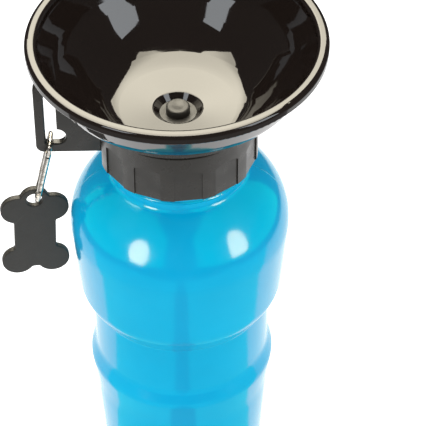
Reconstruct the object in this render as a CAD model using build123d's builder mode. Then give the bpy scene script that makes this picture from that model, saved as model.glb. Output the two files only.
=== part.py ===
# Dog travel water bottle: a squeeze bottle, a screw collar with a strap tab, a drinking bowl
# that twists open over a valve post, and a bone tag on a small snap hook.
# The origin is the centre of the base. +Z runs up the bottle, and the strap tab points to -X.

import os
from math import asin, cos, degrees, radians, sin, sqrt, tan

from build123d import *

# ---------------------------------------------------------------- sizes in millimetres

# squeeze bottle, its heights stacked from the base up
bulge_radius = 42.8
bulge_draft = 2.7
waist_step = 7.8
ridge_proud = 2.3
taper_proud = 0.3
lower_step = 1.9
neck_radius = 26.0
neck_foot_step = 0.9
straight_height = 18.0
taper_height = 34.0
ridge_flank = 13.5
ridge_rise = 6.4
waist_height = 23.9
undercut_height = 8.6
bulge_height = 30.6
shoulder_height = 18.4
shoulder_slope = 31.12
neck_height = 21.4
neck_step_height = 7.0
neck_step_slope = 1.5
bead_height = 4.0
bead_radius = 0.9
bead_proud = 0.45
bottle_wall = 1.5
push_up_height = 2.4
push_up_slope = 3.5
base_ring_inner = 22.0
neck_step_round = 1.0
neck_foot_round = 2.0
bulge_round = 30.0
bulge_foot_round = 9.0
crease_round = 1.2
waist_round = 8.0
ridge_round = 6.0
taper_round = 60.0
base_round = 4.5
push_up_round = 3.0

# screw thread between the neck and the collar
thread_pitch = 6.0
thread_depth = 1.2
thread_root_width = 2.4
thread_crest_width = 1.5
thread_turns = 1.5
thread_clearance = 0.4
thread_top_gap = 1.9
ridge_embed = 0.4

# neck gasket
gasket_thickness = 1.6
gasket_inner_step = 0.2

# collar
collar_wall = 2.7
collar_skirt = 15.3
collar_edge = 0.5
deck_thickness = 3.0
collar_rim = 3.0
recess_wall = 2.0
flute_count = 12
flute_width = 10.6
flute_height = 14.8
flute_depth = 1.0
flute_arch = 1.8
flute_turn = 6.5
socket_wall = 1.95
socket_depth = 10.5
socket_floor = 2.0
running_clearance = 0.05
push_clearance = 0.03
hair = 0.01

# strap tab on the collar
tab_past_bulge = 11.4
tab_thickness = 3.2
tab_height = 33.0
tab_foot_step = 0.8
tab_side_bar = 3.8
tab_foot_bar = 4.2
tab_top_bar = 5.0
tab_slot_width = 4.4
tab_slot_corner = 0.8
tab_slot_crown = 2.1
tab_keyhole_radius = 3.4
tab_corner = 3.0
tab_bowl_gap = 1.0
tab_edge = 0.6
tab_root = 1.6

# drinking bowl
bowl_radius = 56.0
bowl_depth = 33.5
bowl_floor = 2.2
bowl_wall = 2.0
bowl_knee_out = 0.286
bowl_knee_up = 0.174
bowl_shoulder_out = 0.743
bowl_shoulder_up = 0.582
bowl_knee_round = 60.0
bowl_shoulder_round = 20.0
bowl_floor_round = 15.0
bowl_floor_slope = 5.0
bowl_floor_inset = 3.4
bowl_seat_gap = 0.3
bowl_skirt_clearance = 0.3
bowl_foot_lip = 1.4
bowl_skirt_edge = 0.4
rim_height = 4.0
rim_flange = 2.5
rim_band = 4.6
rim_outer_edge = 1.6
rim_lip_edge = 0.6
rim_root = 0.5
rim_inner_edge = 1.6
boss_past_disc = 4.0
boss_length = 9.8
boss_land = 4.7
boss_wall = 1.2
throat_land = 2.0
throat_mouth_flare = 2.4
throat_mouth_round = 0.8
cam_lead = 10.0
cam_depth = 1.1
cam_height = 3.7
cam_root_width = 1.3
cam_crest_width = 0.8
cam_starts = 3
cam_clearance = 0.4

# valve post and its seal
disc_radius = 7.0
disc_thickness = 2.0
throat_clearance = 0.12
post_radius = 4.57
post_proud = 1.0
post_edge = 1.0
post_dimple_radius = 2.6
post_dimple_depth = 0.35
stem_bore_radius = 2.8
stem_crown = 1.0
foot_flange_past_disc = 0.5
foot_flange_thickness = 1.5
window_width = 3.0
window_height = 5.0
window_sill = 0.5
spigot_radius = 4.3
spigot_length = 8.5
seal_section = 0.6
seal_groove_width = 1.4
seal_squeeze = 0.03

# dip tube
tube_wall = 1.1
tube_foot_gap = 3.0
tube_top_gap = 0.2
tube_cut_angle = 35.0

# snap hook
wire_radius = 0.95
hook_length = 32.3
hook_half_width = 4.6
hook_corner = 2.6
hook_bar_gap = 0.4
hook_side_gap = 0.9
hook_pivot_drop = 3.0
gate_radius = 1.2
gate_slot = 1.1
gate_top_gap = 0.35
gate_foot_gap = 0.5
gate_foot_slot = 3.2
gate_top_slot = 2.6
gate_bore_radius = 0.75
tongue_thickness = 0.9
tongue_radius = 1.0
hinge_pin_height = 1.7
pin_radius = 0.4
pin_clearance = 0.05
latch_pin_offset = 0.55
latch_pin_drop = 1.6
plunger_length = 2.4
plunger_gap = 0.05
spring_length = 7.0
spring_wall = 0.25

# bone tag
tag_half_width = 13.4
tag_half_height = 19.9
tag_lobe_radius = 6.5
tag_shaft_half_width = 8.2
tag_end_dip = 3.0
tag_thickness = 2.6
tag_edge = 0.5
tag_inner_corner = 1.2
tag_bottle_gap = 0.6
tag_yaw = 8.9
tag_lean = 2.0
eyelet_radius = 5.7
eyelet_hole_radius = 3.1
eyelet_height = 18.3
eyelet_hang_x = 1.2
eyelet_hang_z = 0.9

# ---------------------------------------------------------------- levels and fits

waist_radius = bulge_radius - waist_step
bulge_foot_radius = bulge_radius - bulge_draft
ridge_radius = waist_radius + ridge_proud
lower_taper_radius = waist_radius + taper_proud
lower_radius = waist_radius - lower_step
neck_foot_radius = neck_radius + neck_foot_step
shoulder_rise = (bulge_radius - neck_foot_radius) * tan(radians(shoulder_slope))

taper_z = straight_height + taper_height
ridge_z = taper_z + ridge_flank
ridge_foot_z = ridge_z + ridge_rise
crease_z = ridge_foot_z + waist_height
bulge_foot_z = crease_z + undercut_height
bulge_z = bulge_foot_z + bulge_height
shoulder_z = bulge_z + shoulder_height
neck_foot_z = shoulder_z + shoulder_rise
neck_step_z = neck_foot_z + neck_step_height
lip_z = neck_foot_z + neck_height

deck_under_z = lip_z + gasket_thickness
deck_top_z = deck_under_z + deck_thickness
collar_top_z = deck_top_z + collar_rim
skirt_end_z = deck_under_z - collar_skirt
collar_bore = neck_radius + thread_depth + thread_clearance
collar_radius = collar_bore + collar_wall
recess_radius = collar_radius - recess_wall

floor_under_z = deck_top_z + bowl_seat_gap
floor_z = floor_under_z + bowl_floor
rim_z = floor_z + bowl_depth
bowl_foot_z = collar_top_z + bowl_seat_gap
bowl_skirt_radius = recess_radius - bowl_skirt_clearance
bowl_foot_radius = bowl_skirt_radius + bowl_foot_lip
rim_inner_radius = bowl_radius - rim_band
rim_root_radius = bowl_radius - rim_flange
rim_root_z = rim_z - rim_height

boss_radius = disc_radius + boss_past_disc
throat_mouth_radius = disc_radius + throat_mouth_flare
foot_flange_radius = disc_radius + foot_flange_past_disc
socket_bore = boss_radius + running_clearance
socket_radius = socket_bore + socket_wall
socket_base_z = deck_top_z - socket_depth
socket_end_z = socket_base_z - socket_floor
boss_end_z = floor_under_z - boss_length
boss_land_z = floor_under_z - boss_land
boss_core_radius = boss_radius - cam_depth - cam_clearance
chamber_radius = boss_core_radius - boss_wall
throat_radius = disc_radius + throat_clearance
throat_end_z = floor_under_z - throat_land
throat_flare_z = throat_end_z - (chamber_radius - throat_radius)
disc_under_z = floor_under_z - disc_thickness
foot_flange_z = socket_base_z + foot_flange_thickness
spigot_end_z = socket_end_z - spigot_length

tab_reach = bulge_radius + tab_past_bulge
tab_foot_z = skirt_end_z + tab_foot_step
tab_top_z = tab_foot_z + tab_height
slot_foot_z = tab_foot_z + tab_foot_bar
slot_top_z = tab_top_z - tab_top_bar
slot_outer_x = -tab_reach + tab_side_bar
slot_inner_x = slot_outer_x + tab_slot_width
hook_pivot_z = slot_foot_z - hook_pivot_drop


def direction(start, end):
    # unit vector from one outline point to the next
    return (Vector(*end) - Vector(*start)).normalized()


def left_of(step):
    # the step turned a quarter turn to the left
    return Vector(-step.Y, step.X)


def parallel(points, rounds, gap):
    # the same outline moved to its left by gap, with each round kept parallel to its old one
    steps = [direction(a, b) for a, b in zip(points, points[1:])]
    moved = [Vector(*points[0]) + left_of(steps[0]) * gap]
    moved_rounds = []
    for point, radius, before, after in zip(points[1:], rounds, steps, steps[1:]):
        miter = (left_of(before) + left_of(after)) / (1 + before.dot(after))
        moved.append(Vector(*point) + miter * gap)
        turns_left = before.cross(after).Z > 0
        moved_rounds.append(radius - gap if turns_left else radius + gap)
    moved.append(Vector(*points[-1]) + left_of(steps[-1]) * gap)
    return [(p.X, p.Y) for p in moved], moved_rounds


def at_height(low, high, height):
    # the point at a height on the straight line through two outline points
    share = (height - low[1]) / (high[1] - low[1])
    return (low[0] + share * (high[0] - low[0]), height)


def at_radius(low, high, radius):
    # the point at a radius on the straight line through two outline points
    share = (radius - low[0]) / (high[0] - low[0])
    return (radius, low[1] + share * (high[1] - low[1]))


def screw_ridge(root, depth, root_width, crest_width, lead, rise, start_z, turn):
    # a ridge of trapezoid section wound up a wall of radius root, standing in for negative depth
    embed = -ridge_embed if depth > 0 else ridge_embed
    with BuildPart() as ridge:
        with BuildLine() as path:
            Helix(lead, rise, root, center=(0, 0, start_z))
        across = Plane(origin=path.line @ 0, x_dir=(1, 0, 0), z_dir=path.line % 0)
        with BuildSketch(across):
            with BuildLine():
                Polyline(
                    (embed, -root_width / 2),
                    (0, -root_width / 2),
                    (depth, -crest_width / 2),
                    (depth, crest_width / 2),
                    (0, root_width / 2),
                    (embed, root_width / 2),
                    close=True,
                )
            make_face()
        sweep(path=path.line, is_frenet=True)
    return ridge.part.rotate(Axis.Z, turn)


def ring_section(inner, outer, low, high):
    # a rectangle of the half plane, to be turned into a ring
    with Locations(((inner + outer) / 2, (low + high) / 2)):
        Rectangle(outer - inner, high - low)


# ---------------------------------------------------------------- squeeze bottle

bottle_points = [
    (neck_radius, lip_z),
    (neck_radius, neck_step_z + neck_step_slope),
    (neck_foot_radius, neck_step_z),
    (neck_foot_radius, neck_foot_z),
    (bulge_radius, shoulder_z),
    (bulge_radius, bulge_z),
    (bulge_foot_radius, bulge_foot_z),
    (waist_radius, crease_z),
    (waist_radius, ridge_foot_z),
    (ridge_radius, ridge_z),
    (lower_taper_radius, taper_z),
    (lower_radius, straight_height),
    (lower_radius, 0),
    (base_ring_inner, 0),
    (base_ring_inner - push_up_slope, push_up_height),
    (0, push_up_height),
]
bottle_rounds = [
    *(neck_step_round, neck_foot_round, neck_foot_round),
    *(bulge_round, bulge_round, bulge_foot_round, crease_round),
    *(waist_round, ridge_round, taper_round, taper_round),
    *(base_round, push_up_round, push_up_round),
]
cavity_points, cavity_rounds = parallel(bottle_points, bottle_rounds, -bottle_wall)
neck_inner_radius = cavity_points[0][0]
cavity_floor_z = cavity_points[-1][1]

thread_rise = thread_pitch * thread_turns
neck_thread_z = lip_z - thread_top_gap - thread_rise
neck_thread = screw_ridge(
    neck_radius,
    thread_depth,
    thread_root_width,
    thread_crest_width,
    thread_pitch,
    thread_rise,
    neck_thread_z,
    0,
)

with BuildPart() as bottle:
    with BuildSketch(Plane.XZ):
        with BuildLine():
            skin = FilletPolyline(*bottle_points, radius=bottle_rounds)
            cavity = FilletPolyline(*cavity_points, radius=cavity_rounds)
            Line(skin @ 0, cavity @ 0)
            Line(skin @ 1, cavity @ 1)
        make_face()
    revolve(axis=Axis.Z)
    with BuildSketch(Plane.XZ):
        with Locations((neck_foot_radius + bead_proud - bead_radius, neck_foot_z + bead_height)):
            Circle(bead_radius)
    revolve(axis=Axis.Z)
    add(neck_thread)
bottle.part.label = "bottle"

# ---------------------------------------------------------------- neck gasket

with BuildPart() as neck_gasket:
    with BuildSketch(Plane.XZ):
        ring_section(
            neck_inner_radius + gasket_inner_step,
            collar_bore - push_clearance,
            lip_z,
            deck_under_z,
        )
    revolve(axis=Axis.Z)
neck_gasket.part.label = "neck_gasket"

# ---------------------------------------------------------------- drinking bowl

wall_run = rim_root_radius - bowl_foot_radius
wall_rise = rim_root_z - bowl_foot_z
wall_points = [
    (bowl_foot_radius, bowl_foot_z),
    (bowl_foot_radius + bowl_knee_out * wall_run, bowl_foot_z + bowl_knee_up * wall_rise),
    (bowl_foot_radius + bowl_shoulder_out * wall_run, bowl_foot_z + bowl_shoulder_up * wall_rise),
    (rim_root_radius, rim_root_z),
]
wall_rounds = [bowl_knee_round, bowl_shoulder_round]
inside_points, inside_rounds = parallel(wall_points, wall_rounds, bowl_wall)
inside_knee, inside_shoulder, inside_top = inside_points[1:]
floor_edge_radius = bowl_foot_radius - bowl_floor_inset
floor_edge_z = floor_z + (floor_edge_radius - throat_mouth_radius) * tan(radians(bowl_floor_slope))

cam_z = socket_base_z + cam_root_width
bowl_cam_z = boss_end_z + cam_root_width / 2
bowl_cam_turn = (bowl_cam_z - cam_z - cam_lead / cam_starts / 2) / cam_lead * 360
bowl_cam = screw_ridge(
    boss_core_radius,
    cam_depth,
    cam_root_width,
    cam_crest_width,
    cam_lead,
    cam_height,
    bowl_cam_z,
    bowl_cam_turn,
)
oring_radius = socket_bore - seal_squeeze - seal_section
oring_z = (boss_land_z + floor_under_z) / 2

with BuildPart() as bowl:
    with BuildSketch(Plane.XZ):
        with BuildLine():
            skin = FilletPolyline(
                (0, floor_under_z),
                (bowl_skirt_radius, floor_under_z),
                (bowl_skirt_radius, bowl_foot_z),
                *wall_points,
                (bowl_radius, rim_root_z),
                (bowl_radius, rim_z),
                (rim_inner_radius, rim_z),
                at_radius(inside_shoulder, inside_top, rim_inner_radius),
                inside_shoulder,
                inside_knee,
                (floor_edge_radius, floor_edge_z),
                (throat_mouth_radius, floor_z),
                (0, floor_z),
                radius=[
                    *(bowl_skirt_edge, 0, 0),
                    *wall_rounds,
                    *(rim_root, rim_lip_edge, rim_outer_edge, rim_inner_edge, rim_inner_edge),
                    *reversed(inside_rounds),
                    *(bowl_floor_round, 0),
                ],
            )
            Line(skin @ 1, skin @ 0)
        make_face()
    revolve(axis=Axis.Z)
    with BuildSketch(Plane.XY.offset(boss_end_z)):
        Circle(boss_core_radius)
    extrude(amount=floor_z - boss_end_z)
    with BuildSketch(Plane.XY.offset(boss_land_z)):
        Circle(boss_radius)
    extrude(amount=floor_z - boss_land_z)
    with PolarLocations(0, cam_starts):
        add(bowl_cam)
    with BuildSketch(Plane.XZ):
        with BuildLine():
            Polyline(
                (0, boss_end_z),
                (chamber_radius, boss_end_z),
                (chamber_radius, throat_flare_z),
                (throat_radius, throat_end_z),
                (throat_radius, floor_under_z),
                (throat_mouth_radius, floor_z),
                (0, floor_z),
                close=True,
            )
        make_face()
    revolve(axis=Axis.Z, mode=Mode.SUBTRACT)
    mouth_edge = bowl.edges().filter_by_position(Axis.Z, floor_z - hair, floor_z + hair)
    fillet(mouth_edge, radius=throat_mouth_round)
    with BuildSketch(Plane.XZ):
        ring_section(
            oring_radius - seal_section - seal_squeeze,
            boss_radius + seal_section,
            oring_z - seal_groove_width / 2,
            oring_z + seal_groove_width / 2,
        )
    revolve(axis=Axis.Z, mode=Mode.SUBTRACT)
bowl.part.label = "bowl"

with BuildPart() as bowl_oring:
    with BuildSketch(Plane.XZ):
        with Locations((oring_radius, oring_z)):
            Circle(seal_section)
    revolve(axis=Axis.Z)
bowl_oring.part.label = "bowl_oring"

# ---------------------------------------------------------------- collar with its strap tab

collar_thread = screw_ridge(
    collar_bore,
    -thread_depth,
    thread_root_width,
    thread_crest_width,
    thread_pitch,
    thread_rise,
    neck_thread_z,
    180,
)
socket_cam = screw_ridge(
    socket_bore,
    -cam_depth,
    cam_root_width,
    cam_crest_width,
    cam_lead,
    cam_height,
    cam_z,
    0,
)
stem_hole_radius = spigot_radius + push_clearance
under_points, under_rounds = parallel(wall_points, wall_rounds, -tab_bowl_gap)
under_foot, under_knee, under_shoulder, under_top = under_points
tab_heel = at_height(under_knee, under_shoulder, tab_top_z)

with BuildPart() as flute:
    with BuildSketch(Plane.YZ.offset(collar_radius - flute_depth)):
        with BuildLine():
            jambs = Polyline(
                (-flute_width / 2, skirt_end_z + flute_height - flute_arch),
                (-flute_width / 2, skirt_end_z),
                (flute_width / 2, skirt_end_z),
                (flute_width / 2, skirt_end_z + flute_height - flute_arch),
            )
            ThreePointArc(jambs @ 0, (0, skirt_end_z + flute_height), jambs @ 1)
        make_face()
    extrude(amount=2 * flute_depth)

with BuildPart() as strap_tab:
    with BuildSketch(Plane.XZ):
        with BuildLine():
            FilletPolyline(
                (-collar_bore - tab_root, tab_foot_z),
                (-tab_reach, tab_foot_z),
                (-tab_reach, tab_top_z),
                (-tab_heel[0], tab_top_z),
                (-under_knee[0], under_knee[1]),
                (-under_foot[0], under_foot[1]),
                (-collar_bore - tab_root, under_foot[1]),
                radius=[tab_corner, tab_corner, tab_edge, under_rounds[0], 0],
            )
            Line((-collar_bore - tab_root, under_foot[1]), (-collar_bore - tab_root, tab_foot_z))
        make_face()
        with BuildLine():
            FilletPolyline(
                (slot_inner_x, slot_foot_z),
                (slot_outer_x, slot_foot_z),
                (slot_outer_x, slot_top_z),
                (slot_inner_x, slot_top_z),
                close=True,
                radius=[0, tab_slot_corner, tab_slot_crown, tab_slot_crown],
            )
        make_face(mode=Mode.SUBTRACT)
        with Locations((slot_inner_x, slot_foot_z + tab_keyhole_radius)):
            Circle(tab_keyhole_radius, mode=Mode.SUBTRACT)
    extrude(amount=tab_thickness / 2, both=True)
    fillet(strap_tab.faces().filter_by(Axis.Y).edges(), radius=tab_edge)

with BuildPart() as collar:
    with BuildSketch(Plane.XZ):
        with BuildLine():
            FilletPolyline(
                (collar_bore, skirt_end_z),
                (collar_radius, skirt_end_z),
                (collar_radius, collar_top_z),
                (recess_radius, collar_top_z),
                (recess_radius, deck_top_z),
                (socket_bore, deck_top_z),
                (socket_bore, socket_base_z),
                (stem_hole_radius, socket_base_z),
                (stem_hole_radius, socket_end_z),
                (socket_radius, socket_end_z),
                (socket_radius, deck_under_z),
                (collar_bore, deck_under_z),
                (collar_bore, skirt_end_z),
                radius=[0, collar_edge, collar_edge] + [0] * 9,
            )
        make_face()
    revolve(axis=Axis.Z)
    with PolarLocations(0, flute_count, start_angle=flute_turn):
        add(flute.part, mode=Mode.SUBTRACT)
    add(strap_tab.part)
    add(collar_thread)
    with PolarLocations(0, cam_starts):
        add(socket_cam)
collar.part.label = "collar"

# ---------------------------------------------------------------- valve post and its seal

seal_radius = throat_radius - seal_squeeze - seal_section
seal_z = floor_under_z - disc_thickness / 2
post_top_z = floor_z + post_proud
window_low_z = foot_flange_z + window_sill

with BuildPart() as valve_post:
    with BuildSketch(Plane.XZ):
        with BuildLine():
            post = FilletPolyline(
                (0, post_top_z - post_dimple_depth),
                (post_dimple_radius, post_top_z),
                (post_radius, post_top_z),
                (post_radius, floor_under_z),
                (disc_radius, floor_under_z),
                (disc_radius, disc_under_z),
                (post_radius, disc_under_z),
                (post_radius, foot_flange_z),
                (foot_flange_radius, foot_flange_z),
                (foot_flange_radius, socket_base_z),
                (spigot_radius, socket_base_z),
                (spigot_radius, spigot_end_z),
                (stem_bore_radius, spigot_end_z),
                (stem_bore_radius, disc_under_z - stem_crown),
                (0, disc_under_z - stem_crown),
                radius=[post_edge, post_edge] + [0] * 11,
            )
            Line(post @ 1, post @ 0)
        make_face()
    revolve(axis=Axis.Z)
    with BuildSketch(Plane.XZ):
        ring_section(
            seal_radius - seal_section - seal_squeeze,
            disc_radius + seal_section,
            seal_z - seal_groove_width / 2,
            seal_z + seal_groove_width / 2,
        )
    revolve(axis=Axis.Z, mode=Mode.SUBTRACT)
    for across in (Plane.XZ, Plane.YZ):
        with BuildSketch(across):
            with Locations((0, window_low_z + window_height / 2)):
                Rectangle(window_width, window_height)
        extrude(amount=2 * post_radius, both=True, mode=Mode.SUBTRACT)
valve_post.part.label = "valve_post"

with BuildPart() as valve_seal:
    with BuildSketch(Plane.XZ):
        with Locations((seal_radius, seal_z)):
            Circle(seal_section)
    revolve(axis=Axis.Z)
valve_seal.part.label = "valve_seal"

# ---------------------------------------------------------------- dip tube

tube_inner = spigot_radius + push_clearance
tube_outer = tube_inner + tube_wall
tube_foot_z = cavity_floor_z + tube_foot_gap
slant = Plane(
    origin=(-tube_outer, 0, tube_foot_z),
    z_dir=(-sin(radians(tube_cut_angle)), 0, cos(radians(tube_cut_angle))),
)

with BuildPart() as dip_tube:
    with BuildSketch(Plane.XZ):
        ring_section(tube_inner, tube_outer, tube_foot_z, socket_end_z - tube_top_gap)
    revolve(axis=Axis.Z)
    split(bisect_by=slant, keep=Keep.TOP)
dip_tube.part.label = "dip_tube"

# ---------------------------------------------------------------- snap hook and bone tag frames

tag_across = Vector(cos(radians(tag_yaw)), sin(radians(tag_yaw)), 0)
tag_right = tag_across * cos(radians(tag_lean)) - Vector(0, 0, 1) * sin(radians(tag_lean))
tag_up = tag_across * sin(radians(tag_lean)) + Vector(0, 0, 1) * cos(radians(tag_lean))
tag_x = -(
    bulge_radius
    + tag_bottle_gap
    + tag_half_width * cos(radians(tag_yaw))
    + (tag_half_height - tag_lobe_radius) * sin(radians(tag_lean))
)
hook_reach = hook_length - 2 * wire_radius
hook_top = Vector(slot_outer_x + wire_radius + hook_side_gap, 0, slot_foot_z + hook_bar_gap + wire_radius)
hook_foot_x = tag_x + eyelet_height * sin(radians(tag_lean)) + eyelet_hang_x
hook_tilt = asin((hook_top.X - hook_foot_x) / hook_reach)
hook_up = Vector(sin(hook_tilt), 0, cos(hook_tilt))
hook_foot = hook_top - hook_up * hook_reach
hook_centre = (hook_top + hook_foot) / 2
hook_plane = Plane(origin=hook_centre, x_dir=(0, 1, 0), z_dir=Vector(0, 1, 0).cross(hook_up))
tag_centre = hook_foot - Vector(eyelet_hang_x, 0, eyelet_hang_z) - tag_up * eyelet_height
tag_plane = Plane(origin=tag_centre, x_dir=tag_right, z_dir=tag_right.cross(tag_up))

# ---------------------------------------------------------------- snap hook

bend_radius = hook_half_width - wire_radius / 2
leg_top_v = hook_reach / 2 - hook_corner
leg_foot_v = -hook_reach / 2 + hook_half_width
gate_top_v = leg_top_v - gate_top_gap
gate_foot_v = leg_foot_v + gate_foot_gap
hinge_v = gate_foot_v + hinge_pin_height
foot_slot_v = gate_foot_v + gate_foot_slot
top_slot_v = gate_top_v - gate_top_slot
latch_v = gate_top_v - latch_pin_drop
latch_u = -hook_half_width + latch_pin_offset
plunger_v = hinge_v + tongue_radius + plunger_gap
spring_v = plunger_v + plunger_length + plunger_gap
bore_top_v = spring_v + spring_length + plunger_gap


def across_gate(height):
    # the plane square to the gate at a height up the hook
    return Plane(
        origin=hook_plane.from_local_coords((-hook_half_width, height, 0)),
        x_dir=hook_plane.x_dir,
        z_dir=hook_plane.y_dir,
    )


def tongue(low, high):
    # a flat bar with round ends, drawn in the hook's plane
    with Locations((-hook_half_width, (low + high) / 2)):
        SlotCenterToCenter(high - low, 2 * tongue_radius, rotation=90)


with BuildPart() as hook_body:
    with BuildLine(hook_plane) as wire_line:
        FilletPolyline(
            (-hook_half_width, leg_top_v),
            (-hook_half_width, hook_reach / 2),
            (hook_half_width, hook_reach / 2),
            (hook_half_width, -hook_reach / 2),
            (-hook_half_width, -hook_reach / 2),
            (-hook_half_width, leg_foot_v),
            radius=[hook_corner - push_clearance, hook_corner, bend_radius, bend_radius],
        )
    with BuildSketch(Plane(origin=wire_line.line @ 0, z_dir=wire_line.line % 0)):
        Circle(wire_radius)
    sweep(path=wire_line.line)
    with BuildSketch(hook_plane):
        tongue(leg_foot_v - tongue_radius, hinge_v)
        tongue(latch_v, leg_top_v + tongue_radius)
    extrude(amount=tongue_thickness / 2, both=True)
    with BuildSketch(hook_plane):
        with Locations((-hook_half_width, hinge_v)):
            Circle(pin_radius + pin_clearance)
        with Locations((latch_u, latch_v), (latch_u + tongue_radius, latch_v)):
            Circle(pin_radius + pin_clearance)
        with Locations((latch_u + tongue_radius / 2, latch_v)):
            Rectangle(tongue_radius, 2 * (pin_radius + pin_clearance))
    extrude(amount=tongue_thickness, both=True, mode=Mode.SUBTRACT)
hook_body.part.label = "hook_body"

with BuildPart() as hook_gate:
    with BuildSketch(across_gate(gate_foot_v)):
        Circle(gate_radius)
    extrude(amount=gate_top_v - gate_foot_v)
    with BuildSketch(across_gate(gate_foot_v)):
        Rectangle(2 * gate_radius, gate_slot)
    extrude(amount=gate_foot_slot, mode=Mode.SUBTRACT)
    with BuildSketch(across_gate(top_slot_v)):
        Rectangle(2 * gate_radius, gate_slot)
    extrude(amount=gate_top_slot, mode=Mode.SUBTRACT)
    with BuildSketch(across_gate(foot_slot_v)):
        Circle(gate_bore_radius)
    extrude(amount=bore_top_v - foot_slot_v, mode=Mode.SUBTRACT)
    with BuildSketch(across_gate(hinge_v)):
        Circle(gate_bore_radius)
    extrude(amount=foot_slot_v - hinge_v, mode=Mode.SUBTRACT)
    with BuildSketch(hook_plane):
        with Locations((-hook_half_width, hinge_v), (latch_u, latch_v)):
            Circle(pin_radius)
    extrude(amount=gate_radius, both=True, mode=Mode.SUBTRACT)
hook_gate.part.label = "hook_gate"

with BuildPart() as hinge_pin:
    with BuildSketch(hook_plane):
        with Locations((-hook_half_width, hinge_v)):
            Circle(pin_radius)
    extrude(amount=gate_radius - push_clearance, both=True)
hinge_pin.part.label = "hinge_pin"

latch_half_length = sqrt(gate_radius**2 - (latch_pin_offset + pin_radius) ** 2)

with BuildPart() as latch_pin:
    with BuildSketch(hook_plane):
        with Locations((latch_u, latch_v)):
            Circle(pin_radius)
    extrude(amount=latch_half_length, both=True)
latch_pin.part.label = "latch_pin"

with BuildPart() as gate_plunger:
    with BuildSketch(across_gate(plunger_v)):
        Circle(gate_bore_radius - push_clearance)
    extrude(amount=plunger_length)
gate_plunger.part.label = "gate_plunger"

with BuildPart() as gate_spring:
    with BuildSketch(across_gate(spring_v)):
        Circle(gate_bore_radius - push_clearance)
        Circle(gate_bore_radius - push_clearance - spring_wall, mode=Mode.SUBTRACT)
    extrude(amount=spring_length)
gate_spring.part.label = "gate_spring"

# ---------------------------------------------------------------- bone tag

with BuildPart() as bone_tag:
    with BuildSketch(tag_plane) as bone:
        Rectangle(2 * tag_shaft_half_width, 2 * (tag_half_height - tag_end_dip))
        with GridLocations(
            2 * (tag_half_width - tag_lobe_radius), 2 * (tag_half_height - tag_lobe_radius), 2, 2
        ):
            Circle(tag_lobe_radius)
        with Locations((0, eyelet_height)):
            Circle(eyelet_radius)
        fillet(bone.vertices(), radius=tag_inner_corner)
        with Locations((0, eyelet_height)):
            Circle(eyelet_hole_radius, mode=Mode.SUBTRACT)
    extrude(amount=tag_thickness / 2, both=True)
    fillet(bone_tag.faces().sort_by(SortBy.AREA)[-2:].edges(), radius=tag_edge)
bone_tag.part.label = "bone_tag"

# ---------------------------------------------------------------- report and files

pieces = [
    bottle,
    neck_gasket,
    collar,
    valve_post,
    valve_seal,
    dip_tube,
    bowl,
    bowl_oring,
    hook_body,
    hook_gate,
    hinge_pin,
    latch_pin,
    gate_plunger,
    gate_spring,
    bone_tag,
]
os.makedirs("parts", exist_ok=True)
for piece in pieces:
    export_step(piece.part, f"parts/{piece.part.label}.step")

print(f"height {rim_z:.2f} mm, bowl across {2 * bowl_radius:.1f} mm")
print(f"hook tilt {degrees(hook_tilt):.2f} degrees")
print("hook pivot", (round(hook_top.X, 3), 0, round(hook_pivot_z, 3)))
print("gate hinge", hook_plane.from_local_coords((-hook_half_width, hinge_v, 0)), hook_plane.z_dir)
print("tag hinge", hook_foot, tag_plane.z_dir)
print("tag centre", tag_centre)
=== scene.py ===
from math import cos, pi, radians, sin, tau

import bmesh
import bpy
from mathutils import Matrix, Vector

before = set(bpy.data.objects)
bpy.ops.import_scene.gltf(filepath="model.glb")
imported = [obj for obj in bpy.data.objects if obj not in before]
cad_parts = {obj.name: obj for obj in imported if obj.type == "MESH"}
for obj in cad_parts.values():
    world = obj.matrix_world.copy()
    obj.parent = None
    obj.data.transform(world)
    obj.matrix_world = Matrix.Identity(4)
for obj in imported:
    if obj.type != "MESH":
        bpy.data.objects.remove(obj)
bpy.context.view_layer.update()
mm = 0.001
midNoise = (0.3, 0.7)  # most of a noise's values lie between these


def linearColour(hexText):
    # sRGB hex to the linear values that shaders and lamps work in
    channels = [int(hexText[i:i + 2], 16) / 255 for i in (0, 2, 4)]
    return [c / 12.92 if c <= 0.04045 else ((c + 0.055) / 1.055) ** 2.4 for c in channels] + [1.0]


def addNode(tree, kind, feeds=None, **settings):
    # adds one node: settings are its options, feeds are its socket values or the outputs linked to them
    node = tree.nodes.new(kind)
    for option, value in settings.items():
        setattr(node, option, value)
    for socket, value in (feeds or {}).items():
        if isinstance(value, bpy.types.NodeSocket):
            tree.links.new(value, node.inputs[socket])
        else:
            node.inputs[socket].default_value = value
    return node


def addNoise(tree, place, grainMm, detail, **more):
    # cloudy noise with grains of about this size
    feeds = {"Vector": place, "Scale": 1 / (grainMm * mm), "Detail": detail, **more}
    return addNode(tree, "ShaderNodeTexNoise", feeds).outputs["Fac"]


def addRange(tree, value, start, end, spread=(0.0, 1.0), **settings):
    # stretches the values from start to end over the spread
    feeds = {"Value": value, "From Min": start, "From Max": end, "To Min": spread[0], "To Max": spread[1]}
    return addNode(tree, "ShaderNodeMapRange", feeds, **settings).outputs["Result"]


def addBlend(tree, share, first, second):
    # a mix of two colours, each written as hex or coming from another node
    ends = [linearColour(c) if isinstance(c, str) else c for c in (first, second)]
    return addNode(tree, "ShaderNodeMix", {0: share, 6: ends[0], 7: ends[1]}, data_type="RGBA").outputs[2]


def addVector(tree, operation, feeds, output=0):
    return addNode(tree, "ShaderNodeVectorMath", feeds, operation=operation).outputs[output]


def addBump(tree, height, depthMm, under=None):
    feeds = {"Height": height, "Distance": depthMm * mm}
    if under:
        feeds["Normal"] = under
    return addNode(tree, "ShaderNodeBump", feeds).outputs[0]


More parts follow.
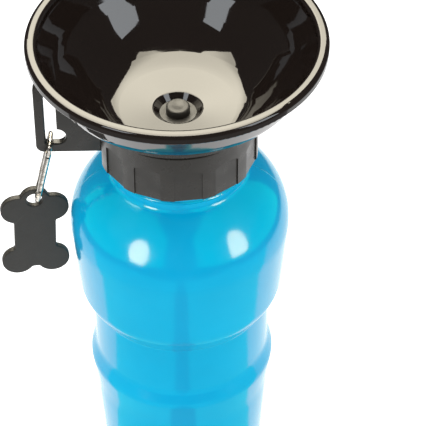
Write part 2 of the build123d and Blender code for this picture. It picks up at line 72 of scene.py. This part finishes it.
def startMaterial(name, uniform):
    # a material whose shader has its uniform values set, ready for patterns
    material = bpy.data.materials.new(name)
    material.use_nodes = True
    tree = material.node_tree
    shader = tree.nodes["Principled BSDF"]
    for socket, value in uniform.items():
        shader.inputs[socket].default_value = value
    return material, tree, addNode(tree, "ShaderNodeTexCoord").outputs["Object"]


def finishMaterial(material, colour, gloss, bump=None):
    tree = material.node_tree
    shader = tree.nodes["Principled BSDF"]
    tree.links.new(colour, shader.inputs["Base Color"])
    tree.links.new(gloss, shader.inputs["Roughness"])
    if bump:
        tree.links.new(bump, shader.inputs["Normal"])
    return material


# Blow-moulded low-density polyethylene: waxy gloss with soft edges to its highlights, a thin
# parting line where the two mould halves met, slow waves in the wall and a fine skin.
bottleFinish = {
    "ior": 1.51, "mirrorTint": "d8ffff", "deep": "00a4d6", "pale": "00addf", "cloudMm": 34,
    "scuffMm": 6, "scuffSpan": (0.35, 0.7), "gloss": (0.11, 0.16), "waveMm": 19, "waveDepth": 0.05,
    "skinMm": 1.3, "skinDepth": 0.004, "seamHalf": 0.28, "seamDepth": 0.16,
}


def blowMouldedPolyethylene(s):
    material, tree, place = startMaterial("blowMouldedPolyethylene", {
        "IOR": s["ior"], "Specular Tint": linearColour(s["mirrorTint"])})
    cloud = addNoise(tree, place, s["cloudMm"], 2)
    colour = addBlend(tree, addRange(tree, cloud, *midNoise), s["deep"], s["pale"])
    scuff = addNoise(tree, place, s["scuffMm"], 5, Roughness=0.6)
    gloss = addRange(tree, scuff, *s["scuffSpan"], s["gloss"])
    axes = addNode(tree, "ShaderNodeSeparateXYZ", {"Vector": place})
    offSeam = addNode(tree, "ShaderNodeMath", {0: axes.outputs["Y"]}, operation="ABSOLUTE").outputs[0]
    seam = addRange(tree, offSeam, 0.0, s["seamHalf"] * mm, (1.0, 0.0), interpolation_type="SMOOTHSTEP")
    waves = addBump(tree, addNoise(tree, place, s["waveMm"], 1), s["waveDepth"])
    skin = addBump(tree, addNoise(tree, place, s["skinMm"], 2), s["skinDepth"], waves)
    return finishMaterial(material, colour, gloss, addBump(tree, seam, s["seamDepth"], skin))


# ABS from a mirror-polished mould: near-black brown, glassy, with faint rings of wipe marks and dust.
bowlFinish = {
    "ior": 1.54, "dark": "1c1613", "light": "241d19", "ringMm": 0.7, "wipeMm": 16,
    "markSpan": (0.15, 0.45), "gloss": (0.025, 0.07), "dustMm": 0.9, "dustSpan": (0.62, 0.8),
    "waveMm": 24, "waveDepth": 0.012,
}


def polishedAbs(s):
    material, tree, place = startMaterial("polishedAbs", {"IOR": s["ior"]})
    flat = addVector(tree, "MULTIPLY", {0: place, 1: (1, 1, 0)})
    radius = addVector(tree, "LENGTH", {0: flat}, "Value")
    heading = addVector(tree, "NORMALIZE", {0: flat})
    ringAxis = addNode(tree, "ShaderNodeCombineXYZ", {"Z": radius}).outputs[0]
    ringPlace = addVector(tree, "MULTIPLY_ADD", {0: ringAxis, 1: (0, 0, 1 / (s["ringMm"] * mm)), 2: heading})
    # ringPlace is counted in rings already, so this noise has a scale of one
    ringNoise = addNode(tree, "ShaderNodeTexNoise", {"Vector": ringPlace, "Scale": 1.0, "Detail": 3})
    wipe = addNoise(tree, place, s["wipeMm"], 2)
    marks = addNode(tree, "ShaderNodeMath", {0: ringNoise.outputs["Fac"], 1: wipe}, operation="MULTIPLY")
    gloss = addRange(tree, marks.outputs[0], *s["markSpan"], s["gloss"])
    dust = addNoise(tree, place, s["dustMm"], 4, Roughness=0.7)
    colour = addBlend(tree, addRange(tree, dust, *s["dustSpan"]), s["dark"], s["light"])
    waves = addBump(tree, addNoise(tree, place, s["waveMm"], 1), s["waveDepth"])
    return finishMaterial(material, colour, gloss, waves)


# Injection-moulded polypropylene: satin black-brown, with cloudy flow marks and upright draw lines.
collarFinish = {
    "ior": 1.49, "dark": "24221e", "light": "2f2c27", "flowMm": 9, "scuffMm": 5, "gloss": (0.24, 0.36),
    "drawMm": 0.5, "drawSquash": 0.06, "drawDepth": 0.006,
}


def mouldedPolypropylene(s):
    material, tree, place = startMaterial("mouldedPolypropylene", {"IOR": s["ior"]})
    colour = addBlend(tree, addNoise(tree, place, s["flowMm"], 4, Distortion=0.6), s["dark"], s["light"])
    gloss = addRange(tree, addNoise(tree, place, s["scuffMm"], 2), *midNoise, s["gloss"])
    upright = addNode(tree, "ShaderNodeMapping", {"Vector": place, "Scale": (1, 1, s["drawSquash"])})
    draw = addBump(tree, addNoise(tree, upright.outputs[0], s["drawMm"], 2), s["drawDepth"])
    return finishMaterial(material, colour, gloss, draw)


# Compression-moulded rubber: dull warm grey and a fine grain, with a painted highlight on its sharp edges.
tagFinish = {
    "ior": 1.5, "dark": "2c2a26", "light": "363430", "edgeHighlight": "4d4a44", "edgeHighlightFrom": 0.53, "edgeHighlightTo": 0.60,
    "cloudMm": 5, "grainMm": 0.4, "grainDepth": 0.012, "gloss": (0.48, 0.62),
}


def mouldedRubber(s):
    material, tree, place = startMaterial("mouldedRubber", {"IOR": s["ior"]})
    cloud = addNoise(tree, place, s["cloudMm"], 4)
    body = addBlend(tree, cloud, s["dark"], s["light"])
    # painted highlight: the sharp edges, found by their Pointiness, are painted paler in cloudy patches
    sharpness = addNode(tree, "ShaderNodeNewGeometry").outputs["Pointiness"]
    edge = addRange(tree, sharpness, s["edgeHighlightFrom"], s["edgeHighlightTo"])
    edgeHighlightShare = addNode(tree, "ShaderNodeMath", {0: edge, 1: cloud}, operation="MULTIPLY").outputs[0]
    grain = addNoise(tree, place, s["grainMm"], 3)
    colour = addBlend(tree, edgeHighlightShare, body, s["edgeHighlight"])
    gloss = addRange(tree, grain, *midNoise, s["gloss"])
    return finishMaterial(material, colour, gloss, addBump(tree, grain, s["grainDepth"]))


# Silicone rubber, moulded: matt near-black with a faint bloom.
sealFinish = {
    "ior": 1.42, "dark": "242422", "light": "31302e", "cloudMm": 1.8, "grainMm": 0.5,
    "grainDepth": 0.01, "gloss": (0.42, 0.56),
}


def siliconeRubber(s):
    material, tree, place = startMaterial("siliconeRubber", {"IOR": s["ior"]})
    colour = addBlend(tree, addNoise(tree, place, s["cloudMm"], 3), s["dark"], s["light"])
    grain = addNoise(tree, place, s["grainMm"], 2)
    gloss = addRange(tree, grain, *midNoise, s["gloss"])
    return finishMaterial(material, colour, gloss, addBump(tree, grain, s["grainDepth"]))


# Nickel-plated steel wire: bright, dulled in patches to a warm grey, with small pits in the plate.
hookFinish = {
    "bright": "dedad2", "dull": "8d8577", "patchMm": 1.9, "stainSpan": (0.45, 0.68),
    "patchSpan": (0.35, 0.7), "gloss": (0.12, 0.34),
    "pitMm": 0.5, "pitDepth": 0.012,
}


def nickelPlate(s):
    material, tree, place = startMaterial("nickelPlate", {"Metallic": 1.0})
    patch = addNoise(tree, place, s["patchMm"], 4, Roughness=0.6)
    colour = addBlend(tree, addRange(tree, patch, *s["stainSpan"]), s["bright"], s["dull"])
    gloss = addRange(tree, patch, *s["patchSpan"], s["gloss"])
    pits = addBump(tree, addNoise(tree, place, s["pitMm"], 2), s["pitDepth"])
    return finishMaterial(material, colour, gloss, pits)


# Black acetal, turned: even sheen with fine lathe rings round the axis.
postFinish = {
    "ior": 1.48, "dark": "1a1917", "light": "262421", "cloudMm": 2.4, "gloss": (0.36, 0.5),
    "ringMm": 1.3823, "ringDepth": 0.005, "ringWander": 0.4,
}
waveScaling = 20  # the wave texture multiplies its scale by this before taking the sine


def turnedAcetal(s):
    material, tree, place = startMaterial("turnedAcetal", {"IOR": s["ior"]})
    cloud = addNoise(tree, place, s["cloudMm"], 4)
    gloss = addRange(tree, cloud, *midNoise, s["gloss"])
    rings = addNode(tree, "ShaderNodeTexWave", {
        "Vector": place, "Scale": tau / (s["ringMm"] * mm * waveScaling), "Distortion": s["ringWander"]},
        wave_type="RINGS", rings_direction="Z").outputs["Fac"]
    colour = addBlend(tree, cloud, s["dark"], s["light"])
    return finishMaterial(material, colour, gloss, addBump(tree, rings, s["ringDepth"]))


# Extruded polyethylene tube: dark grey, with faint lines along the draw.
tubeFinish = {
    "ior": 1.51, "dark": "1d1e1f", "light": "2a2c2d", "lineMm": 0.6, "lineSquash": 0.03,
    "gloss": (0.32, 0.45),
}


def extrudedPolyethylene(s):
    material, tree, place = startMaterial("extrudedPolyethylene", {"IOR": s["ior"]})
    along = addNode(tree, "ShaderNodeMapping", {"Vector": place, "Scale": (1, 1, s["lineSquash"])})
    lines = addNoise(tree, along.outputs[0], s["lineMm"], 2)
    colour = addBlend(tree, lines, s["dark"], s["light"])
    return finishMaterial(material, colour, addRange(tree, lines, *midNoise, s["gloss"]))


silicone = siliconeRubber(sealFinish)
nickel = nickelPlate(hookFinish)
nodeFinish = {
    "bottle": blowMouldedPolyethylene(bottleFinish), "bowl": polishedAbs(bowlFinish),
    "collar": mouldedPolypropylene(collarFinish), "bone_tag": mouldedRubber(tagFinish),
    "neck_gasket": silicone, "valve_seal": silicone, "bowl_oring": silicone,
    "valve_post": turnedAcetal(postFinish), "dip_tube": extrudedPolyethylene(tubeFinish),
    "hook_body": nickel, "hook_gate": nickel, "hinge_pin": nickel, "latch_pin": nickel,
    "gate_plunger": nickel, "gate_spring": nickel,
}
for nodeName, finish in nodeFinish.items():
    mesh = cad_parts[nodeName].data
    mesh.materials.clear()
    mesh.materials.append(finish)
print("finishes on", len(nodeFinish), "nodes")


# The paper floor is white to the camera with the object's shadow on it, and a dim grey in what
# mirrors it, because the lit patches round the bottle are lamps of their own below.
floorLook = {
    "size": 6.0, "paper": "e6e6e5", "cameraLift": 0.80, "mirrored": 0.3, "fade": (0.3, 0.6), "far": 0.12,
}


def buildFloor(s):
    bm = bmesh.new()
    bmesh.ops.create_grid(bm, x_segments=1, y_segments=1, size=s["size"] / 2)
    mesh = bpy.data.meshes.new("floor")
    bm.to_mesh(mesh)
    bm.free()
    floor = bpy.data.objects.new("floor", mesh)
    bpy.context.scene.collection.objects.link(floor)
    material = bpy.data.materials.new("paperFloor")
    material.use_nodes = True
    tree = material.node_tree
    tree.nodes.remove(tree.nodes["Principled BSDF"])
    place = addNode(tree, "ShaderNodeTexCoord").outputs["Object"]
    path = addNode(tree, "ShaderNodeLightPath")
    reach = addVector(tree, "LENGTH", {0: place}, "Value")
    glow = addRange(tree, reach, *s["fade"], (s["mirrored"], s["far"]))
    white = (1, 1, 1, 1)
    paper = addNode(tree, "ShaderNodeBsdfDiffuse", {"Color": linearColour(s["paper"])}).outputs[0]
    lift = addNode(tree, "ShaderNodeEmission", {"Color": white, "Strength": s["cameraLift"]}).outputs[0]
    mirrored = addNode(tree, "ShaderNodeEmission", {"Color": white, "Strength": glow}).outputs[0]
    seen = addNode(tree, "ShaderNodeAddShader", {0: lift, 1: paper}).outputs[0]
    bounced = addNode(tree, "ShaderNodeMixShader", {
        0: path.outputs["Is Glossy Ray"], 1: paper, 2: mirrored}).outputs[0]
    shown = addNode(tree, "ShaderNodeMixShader", {
        0: path.outputs["Is Camera Ray"], 1: bounced, 2: seen}).outputs[0]
    tree.links.new(shown, tree.nodes["Material Output"].inputs["Surface"])
    mesh.materials.append(material)


# The room: white to the camera, plain soft light on the object, and dark to mirror rays.
roomLook = {"light": 0.85, "mirrored": 0.08, "toCamera": 1.0}


def buildRoom(s):
    world = bpy.data.worlds.new("studio")
    bpy.context.scene.world = world
    world.use_nodes = True
    tree = world.node_tree
    path = addNode(tree, "ShaderNodeLightPath")
    lit = addNode(tree, "ShaderNodeMix", {
        0: path.outputs["Is Glossy Ray"], 2: s["light"], 3: s["mirrored"]}, data_type="FLOAT")
    level = addNode(tree, "ShaderNodeMix", {
        0: path.outputs["Is Camera Ray"], 2: lit.outputs[0], 3: s["toCamera"]}, data_type="FLOAT")
    back = tree.nodes["Background"]
    back.inputs["Color"].default_value = (1, 1, 1, 1)
    tree.links.new(level.outputs[0], back.inputs["Strength"])


# A glowing card overhead, which only mirror rays see. Its outline, in shares of its half size, was
# traced by a separate program, from the pale panel in the photograph back through the bowl. Only the
# four points at its far end are listed, not traced. The middle glows more than the rim.
overheadCard = {
    "place": (-0.13, 0.735, 1.2), "aim": (-0.13, 0.735, 0), "half": (0.72, 1.015), "tint": "fff7e2",
    "core": 11.4, "edge": 6.6, "soft": 0.5, "hotMiddle": -0.35, "hotHalf": 1.3,
    "outline": [
        (0.94, -0.87), (0.61, -0.95), (0.01, -0.99), (-0.57, -0.87), (-0.96, -0.75), (-1.06, -0.47),
        (-0.89, -0.24), (-0.68, 0.17), (-0.68, 0.37), (-0.81, 0.59), (-0.25, 0.75), (-0.25, 1.3),
        (0.5, 1.3), (0.5, 0.75), (0.96, 0.53), (0.75, 0.29), (0.71, 0.13), (0.82, -0.26), (1.04, -0.77),
    ],
}


def around(azimuth, elevation, distance, centre):
    # a place seen from the centre at an angle right of the camera side and up
    a, e = radians(azimuth), radians(elevation)
    return Vector(centre) + Vector((sin(a) * cos(e), -cos(a) * cos(e), sin(e))) * distance


def turnedTo(place, aim):
    return (Vector(aim) - Vector(place)).to_track_quat("-Z", "Y").to_matrix().to_4x4()


def addCard(name, s):
    bm = bmesh.new()
    bm.faces.new([bm.verts.new((x * s["half"][0], y * s["half"][1], 0)) for x, y in s["outline"]])
    mesh = bpy.data.meshes.new(name)
    bm.to_mesh(mesh)
    bm.free()
    card = bpy.data.objects.new(name, mesh)
    card.matrix_world = Matrix.Translation(s["place"]) @ turnedTo(s["place"], s["aim"])
    bpy.context.scene.collection.objects.link(card)
    material = bpy.data.materials.new(name)
    material.use_nodes = True
    tree = material.node_tree
    tree.nodes.remove(tree.nodes["Principled BSDF"])
    place = addNode(tree, "ShaderNodeTexCoord").outputs["Object"]
    share = addVector(tree, "DIVIDE", {0: place, 1: (*s["half"], 1)})
    fromHot = addVector(tree, "SUBTRACT", {0: share, 1: (0, s["hotMiddle"], 0)})
    inHot = addVector(tree, "DIVIDE", {0: fromHot, 1: (1, s["hotHalf"], 1)})
    reach = addVector(tree, "LENGTH", {0: inHot}, "Value")
    level = addRange(tree, reach, s["soft"], 1.0, (s["core"], s["edge"]), interpolation_type="SMOOTHSTEP")
    glow = addNode(tree, "ShaderNodeEmission", {"Color": linearColour(s["tint"]), "Strength": level})
    tree.links.new(glow.outputs[0], tree.nodes["Material Output"].inputs["Surface"])
    mesh.materials.append(material)
    card.visible_camera = False
    card.visible_diffuse = False
    card.visible_transmission = False
    card.visible_shadow = False


def addSoftLamp(name, place, aim, size, radiance, tint="ffffff"):
    # an even soft lamp that lights the object and isn't mirrored in it
    data = bpy.data.lights.new(name, "AREA")
    data.shape = "RECTANGLE"
    data.size, data.size_y = size
    data.color = linearColour(tint)[:3]
    data.energy = radiance * pi * size[0] * size[1]
    lamp = bpy.data.objects.new(name, data)
    lamp.matrix_world = Matrix.Translation(place) @ turnedTo(place, aim)
    lamp.visible_camera = False
    lamp.visible_glossy = False
    bpy.context.scene.collection.objects.link(lamp)
    return lamp


def addMirrored(name, pieces, place, aim, size, radiance, tint="ffffff", shape="RECTANGLE"):
    # a soft lamp that is only seen mirrored, in the pieces named
    lamp = addSoftLamp(name, place, aim, size, radiance, tint)
    lamp.data.shape = shape
    lamp.visible_glossy = True
    lamp.visible_diffuse = False
    lamp.light_linking.receiver_collection = bpy.data.collections.new(name)
    for nodeName in pieces:
        lamp.light_linking.receiver_collection.objects.link(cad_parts[nodeName])


# The upper bottle and the bowl's inside, which lamps stand round and are aimed at, how far away
# they stand, and how far the lit patches lie above the floor.
centre = (0, 0, 0.15)
inBowl = (0, 0.037, 0.205)
fillAway = 1.4
boxAway = 1.1
paperHeight = 0.002


def addBox(name, pieces, azimuth, elevation, size, radiance, middle=centre, **look):
    # a mirrored lamp that stands round its middle and faces it
    addMirrored(name, pieces, around(azimuth, elevation, boxAway, middle), middle, size, radiance, **look)


def addPaper(name, pieces, x, y, size, radiance, **look):
    # a lit patch of the paper floor, facing up
    addMirrored(name, pieces, (x, y, paperHeight), (x, y, 1), size, radiance, **look)


# What the bottle mirrors in front is tinted, with no red in it, to keep the blue as pure as the
# photograph's. The boxes are warm, so that they come out white in the bottle.
blueTint = "00fff0"
wallTint = "00ffc8"
boxTint = "ffc09a"
blue = ("bottle",)
black = ("collar", "bone_tag", "bowl", "hook_body", "hook_gate", "valve_post")
nickelled = ("hook_body", "hook_gate")

fills = {
    "frontFill": {"azimuth": 0, "elevation": 8, "radiance": 1.05},
    "leftFill": {"azimuth": -70, "elevation": 30, "radiance": 1.75},
    "rightFill": {"azimuth": 75, "elevation": 30, "radiance": 1.35},
}
fillSize = (0.7, 0.9)
overheadSoft = {
    "place": (0, 0, 1.2), "aim": (0, 0, 0.1), "size": (1.0, 1.0), "radiance": 1.12, "tint": "fffaf2",
}
# Boxes left and right of the camera side: highlights on the bottle, the hook and the bowl's inside.
boxes = {
    "leftBox": {
        "pieces": blue, "azimuth": -41, "elevation": 9, "size": (0.39, 0.74), "radiance": 16.0,
        "tint": boxTint, "shape": "ELLIPSE"},
    "rightBox": {
        "pieces": blue, "azimuth": 58, "elevation": 6, "size": (0.39, 0.90), "radiance": 14.0,
        "tint": boxTint, "shape": "ELLIPSE"},
    "leftSheen": {
        "pieces": nickelled, "azimuth": -41, "elevation": 20, "size": (0.4, 0.9), "radiance": 8.0},
    "rightSheen": {
        "pieces": nickelled, "azimuth": 58, "elevation": 20, "size": (0.4, 0.9), "radiance": 8.0},
    "leftStrip": {
        "pieces": ("bowl",), "middle": inBowl, "azimuth": -44, "elevation": 38, "size": (0.31, 0.46),
        "radiance": 4.7, "tint": "f4faff"},
    "rightStrip": {
        "pieces": ("bowl",), "middle": inBowl, "azimuth": 57.5, "elevation": 29, "size": (0.41, 0.70),
        "radiance": 4.7, "tint": "f4faff"},
}
# Walls stand left and right of the camera side, with a gap that the bottle mirrors as a stripe.
walls = {"x": 0.6, "y": -0.9, "z": 0.9, "size": (2.6, 1.9), "radiance": 2.3}
# In front of the bottle the paper is in two patches with a gap, and behind it is near white.
frontPaperX = 0.18
frontPaper = {"y": -0.17, "size": (0.33, 0.32), "radiance": 1.15, "tint": blueTint}
rearPaper = {"x": 0, "y": 0.23, "size": (0.7, 0.48), "radiance": 1.2, "tint": "fffff4"}
blackPaper = {"x": 0, "y": 0.1, "size": (0.66, 0.66), "radiance": 0.95, "shape": "ELLIPSE"}

buildFloor(floorLook)
buildRoom(roomLook)
addCard("overheadCard", overheadCard)
addSoftLamp("overheadSoft", **overheadSoft)
for name, s in fills.items():
    addSoftLamp(name, around(s["azimuth"], s["elevation"], fillAway, centre), centre, fillSize, s["radiance"])
for name, s in boxes.items():
    addBox(name, **s)
for name, x in (("leftWall", -walls["x"]), ("rightWall", walls["x"])):
    aim = (0, walls["y"], walls["z"])
    addMirrored(name, blue, (x, walls["y"], walls["z"]), aim, walls["size"], walls["radiance"], wallTint)
for name, x in (("leftPaper", -frontPaperX), ("rightPaper", frontPaperX)):
    addPaper(name, blue, x, **frontPaper)
addPaper("rearPaper", blue, **rearPaper)
addPaper("paperInBlack", black, **blackPaper)

# The camera's place, tilt and lens, found by fitting the rim, collar, tab and silhouettes.
viewpoint = {
    "sensor": 36, "lens": 192.377, "place": (0, -0.654957, 0.742443), "turn": -1.1388, "down": 42.7384,
    "roll": -0.1751,
}
cameraData = bpy.data.cameras.new("camera")
cameraData.sensor_width = viewpoint["sensor"]
cameraData.lens = viewpoint["lens"]
camera = bpy.data.objects.new("camera", cameraData)
camera.matrix_world = (
    Matrix.Translation(viewpoint["place"])
    @ Matrix.Rotation(radians(viewpoint["turn"]), 4, "Z")
    @ Matrix.Rotation(radians(90 - viewpoint["down"]), 4, "X")
    @ Matrix.Rotation(radians(viewpoint["roll"]), 4, "Z")
)
bpy.context.scene.collection.objects.link(camera)
bpy.context.scene.camera = camera
bpy.context.scene.view_settings.view_transform = "Standard"
print("studio and camera set")
